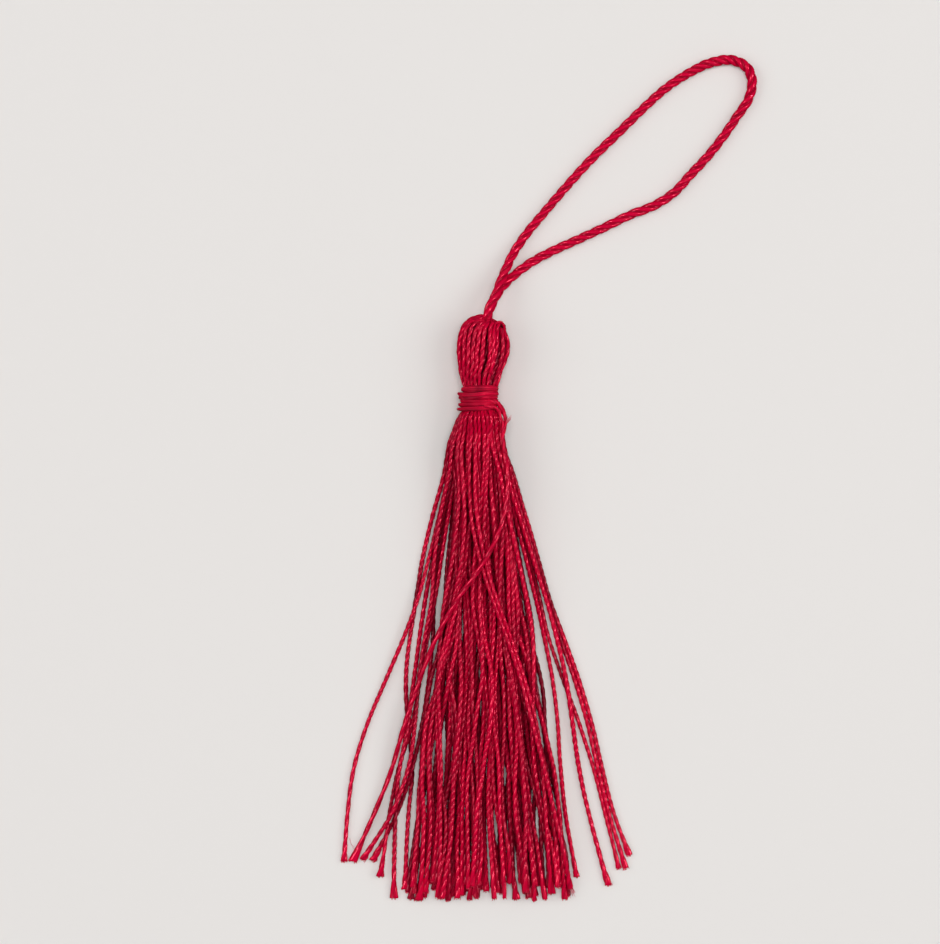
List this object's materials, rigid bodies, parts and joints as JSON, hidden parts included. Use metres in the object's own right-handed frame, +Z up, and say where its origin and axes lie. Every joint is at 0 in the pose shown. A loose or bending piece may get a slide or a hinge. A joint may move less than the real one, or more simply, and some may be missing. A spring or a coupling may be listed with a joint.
{
  "type": "silk tassel",
  "caption": "Silk tassel lying flat: twisted yarns folded into a round head and bound at the neck, the skirt fanned out below it, with a twisted hanging cord looped from the top.",
  "frame": {"origin": "on the surface it lies on, under the middle of the tassel's box with the hanging cord left out", "axes": "+Y from the skirt's tips towards the head and the cord's loop, +X to the right seen from above, +Z up from the surface"},
  "size_m": [0.0568, 0.1159, 0.0064],
  "materials": {
    "yarn": "silky twisted yarn, deep red with a soft sheen",
    "binding": "the same silky yarn, wound tight",
    "cord": "silky plied cord, deep red with a soft sheen"
  },
  "bodies": {
    "root": {"tassel_yarns": "yarn", "neck_binding": "binding", "hanging_cord": "cord"}
  },
  "joints": []
}
